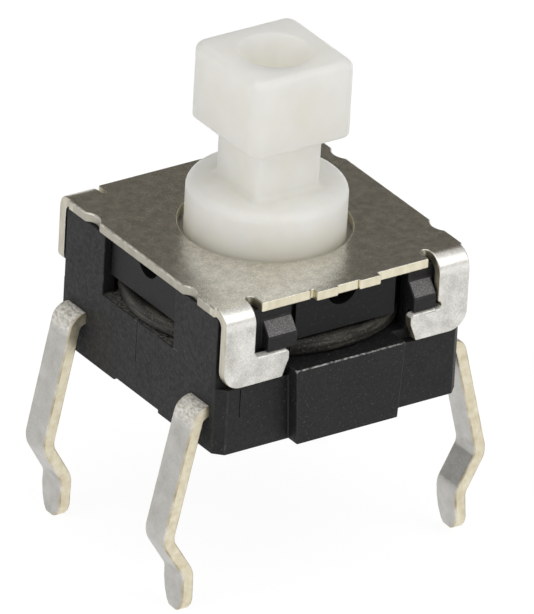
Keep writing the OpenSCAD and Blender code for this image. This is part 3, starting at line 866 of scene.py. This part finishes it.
def coined_bends(points):
    """The rear hooks' bends, pressed tighter than the front ones. Round the bend's axis, a point at the
    angle a moves out by 1 / (cos a to the n + sin a to the n) to the 1 / n, which squares the quarter
    circle up."""
    x, y, z = points.T
    out, up = np.maximum(y - bend_axis[0], 0.0), np.maximum(z - bend_axis[1], 0.0)
    reach = np.hypot(out, up)
    squared = (out ** bend_power + up ** bend_power) ** (1 / bend_power)
    on_hook = (np.abs(x) > hook_inside) & (out > 0) & (up > 0)
    push = np.where(on_hook, reach / np.maximum(squared, 1e-9) - 1.0, 0.0)
    return np.stack([x, y + out * push, z + up * push], 1)


def mark_burr_highlights(mesh):
    """The burr finish with its painted highlight on the upper edges of the hooks' arms, the faces below the
    bends that look up, and the painted glints on the eased rims of the top's two sides, which look up and
    sideways."""
    finish = listed(mesh.polygons, "material_index", np.int32)
    to_side, _, up = listed_rows(mesh.polygons, "normal").T
    x, y, z = np.abs(listed_rows(mesh.polygons, "center")).T / MM
    arm = (up > CLEAR) & (z < arm_top)
    slanted = (np.abs(up) > SLIGHT) & (np.abs(to_side) > SLIGHT)
    rim = slanted & (z > rim_low) & (x > rim_side) & (y < rim_end)
    marked = np.where(arm, BURR_HIGHLIGHT, np.where(rim, GLINTING, finish))
    mesh.polygons.foreach_set("material_index", marked.astype(np.int32))
    print(f"{arm.sum()} faces of the arms and {rim.sum()} of the rims have a burr")


print("rear bends turn about y, z =", np.round(bend_axis, 3).tolist())
cover_mesh = eased_copy("cover", "cover_stamping", ease=0.03, kind=cover_cuts, bend=coined_bends,
                        merge=0.012)
mark_burr_highlights(cover_mesh)
settle("cover_stamping", cover_mesh, "cover",
       [cover_steel, cut_steel, burr_painted_highlight, glinting_rim])

# %% [markdown]
# ## The legs
# The legs are two stamped strips, one for each row, moulded into the base. On a used switch no two legs
# stand alike: handling bends each one a little. The solids keep the straight product, and here the
# points of each leg lean and lift by amounts that grow from its shoulder to its tip.

# %% Legs
SHEARED = 2
leg_tip, leg_kink, leg_shoulder = box_mm("front_terminals")[0][2], -1.83, 0.6
tip_ends = -3.1
leg_leans = ((0.09, 0.07), (0.06, 0.12), (0.15, -0.003), (0.10, -0.003))
leg_lifts = ((0.0, 0.0), (0.0, 0.0), (0.125, 0.13), (0.18, 0.13))


def strip_cuts(way, mid):
    """The cut finish on the strip's sides: the faces that look along Y, and the slanted ends of the tips."""
    tip = (mid[:, 2] < tip_ends) & (np.abs(way[:, 0]) < CLEAR)
    return CUT * ((np.abs(way[:, 1]) > MOST) | tip)


def bent_legs(points):
    """The legs as this sample has them, numbered left front, left rear, right front, right rear. A leg's
    lean towards +X and its lift are given at its tip and its kink, fall to nothing at its shoulder, and
    go evenly between these heights."""
    x, y, z = points.T
    leg = 2 * (x > 0) + (y > 0)
    heights = (leg_tip, leg_kink, leg_shoulder)
    lean = np.choose(leg, [np.interp(z, heights, (*pair, 0.0)) for pair in leg_leans])
    lift = np.choose(leg, [np.interp(z, heights, (*pair, 0.0)) for pair in leg_lifts])
    return np.stack([x + lean, y, z + lift], 1)


for row in ("front", "rear"):
    node, name = f"{row}_terminals", f"{row}_terminal_strip"
    strip_mesh = eased_copy(node, name, ease=0.03, kind=strip_cuts, edge_slot=SHEARED, bend=bent_legs)
    settle(name, strip_mesh, node, [tin_coat, cut_brass, sheared_edge])

# %% [markdown]
# ## Solids that stay as they are
# The retainer and the dome sit inside, and only slits of the retainer show. Eased edges would never be
# seen on them, so their solids keep their shape and get their finish in the material slot.

# %% Finishes of the inner solids
for node, finish in (("retainer", retainer_shaded_plastic), ("snap_dome", spring_steel)):
    for slot in frame["nodes"][node].material_slots:
        slot.material = finish
    print(node, "wears", finish.name)

# %% [markdown]
# ## Table
# The switch stands on the tips of its legs on a white table. More light would make the table white, but
# it would bleach the switch too. So the table is a pale diffuse surface that keeps the shadow, with
# enough white light of its own towards the camera and in reflections to look like paper.

# %% Table
def disc(radius, height, rings=6, around=72):
    """Flat disc: r goes from radius to nearly 0 as the square of the step, and the angle once round. The
    rings run inwards, so that the faces between them look up."""
    r = radius * np.linspace(1.0, 0.02, rings) ** 2
    a = np.linspace(0.0, 2 * math.pi, around, endpoint=False)
    return np.stack([np.outer(r, np.cos(a)), np.outer(r, np.sin(a)), np.full((rings, around), height)], -1)


table_r, table_gap, paper_glow = 4.0, 0.01 * MM, 0.86
table_points = disc(table_r, cad_box[0][2] - table_gap)
*quads, _, middle = ring_stack(table_points)
table_faces = [*quads, middle]
table_mesh = bpy.data.meshes.new("table")
table_mesh.from_pydata(table_points.reshape(-1, 3).tolist(), [], table_faces)
table = bpy.data.objects.new("table", table_mesh)
scene.collection.objects.link(table)

table_white = bpy.data.materials.new("table_white")
table_white.use_nodes = True
tree = table_white.node_tree
tree.nodes.remove(tree.nodes["Principled BSDF"])
paper, glow = tree.nodes.new("ShaderNodeBsdfDiffuse"), tree.nodes.new("ShaderNodeEmission")
paper.inputs["Color"].default_value = (0.9, 0.9, 0.89, 1)
glow.inputs["Strength"].default_value = 1.08
path = tree.nodes.new("ShaderNodeLightPath")
mirrored = maths(tree, "MAXIMUM", path.outputs["Is Glossy Ray"], path.outputs["Is Transmission Ray"])
seen = maths(tree, "MAXIMUM", path.outputs["Is Camera Ray"], mirrored)
lay = tree.nodes.new("ShaderNodeMixShader")
tree.links.new(maths(tree, "MULTIPLY", seen, paper_glow), lay.inputs[0])
tree.links.new(paper.outputs[0], lay.inputs[1])
tree.links.new(glow.outputs[0], lay.inputs[2])
tree.links.new(lay.outputs[0], tree.nodes["Material Output"].inputs["Surface"])
table_mesh.materials.append(table_white)
print("table", len(table_faces), "faces, at", round(table_points[0, 0, 2] / MM, 3), "mm")

# %% [markdown]
# ## Studio
# Steel shows what stands round it, so the studio matters more than the lamps. It is white near the
# horizon and overhead and dark grey in between: the dark part is what the cover's top mirrors, and the
# white table is what its hooks mirror. A photograph of a room could do this, but a ramp that knows only
# how high above the horizon a ray looks is enough.
# Two large soft lamps in front add the light on the faces that the camera sees.

# %% World and lamps
world = bpy.data.worlds.new("studio")
scene.world = world
world.use_nodes = True
tree = world.node_tree
way = tree.nodes.new("ShaderNodeTexCoord")
height = climb(tree, way.outputs["Generated"], -1.0, 1.0)


def sky(elevation):
    """Place on the ramp of a height above the horizon in degrees: (1 + its sine) / 2."""
    return (1 + math.sin(math.radians(elevation))) / 2


studio_dark = (0.13, 0.12, 0.098, 1)
studio = steps(tree, height, [
    (0.0, WHITE), (sky(6), WHITE), (sky(13), studio_dark), (sky(48), studio_dark),
    (sky(64), grey(1.15)), (1.0, grey(1.26))])
tree.links.new(studio, tree.nodes["Background"].inputs["Color"])


def softbox(name, azimuth, elevation, distance, size, power):
    """Square lamp of size mm that looks at the switch from a direction in degrees, as the camera's angles
    go, from a distance in mm."""
    right, up, back = sight_axes(math.radians(azimuth), math.radians(elevation))
    lamp = bpy.data.lights.new(name, "AREA")
    lamp.shape, lamp.size, lamp.energy = "SQUARE", size * MM, power
    stand_at(bpy.data.objects.new(name, lamp), right, up, back, lamp_aim + back * distance)
    print(f"{name}: {size} mm square, {power} W")


lamp_aim = np.array([0.0, 0.0, 2.0])
softbox("front_right", azimuth=25, elevation=42, distance=180, size=130, power=0.106)
softbox("front_left", azimuth=-80, elevation=35, distance=180, size=130, power=0.085)
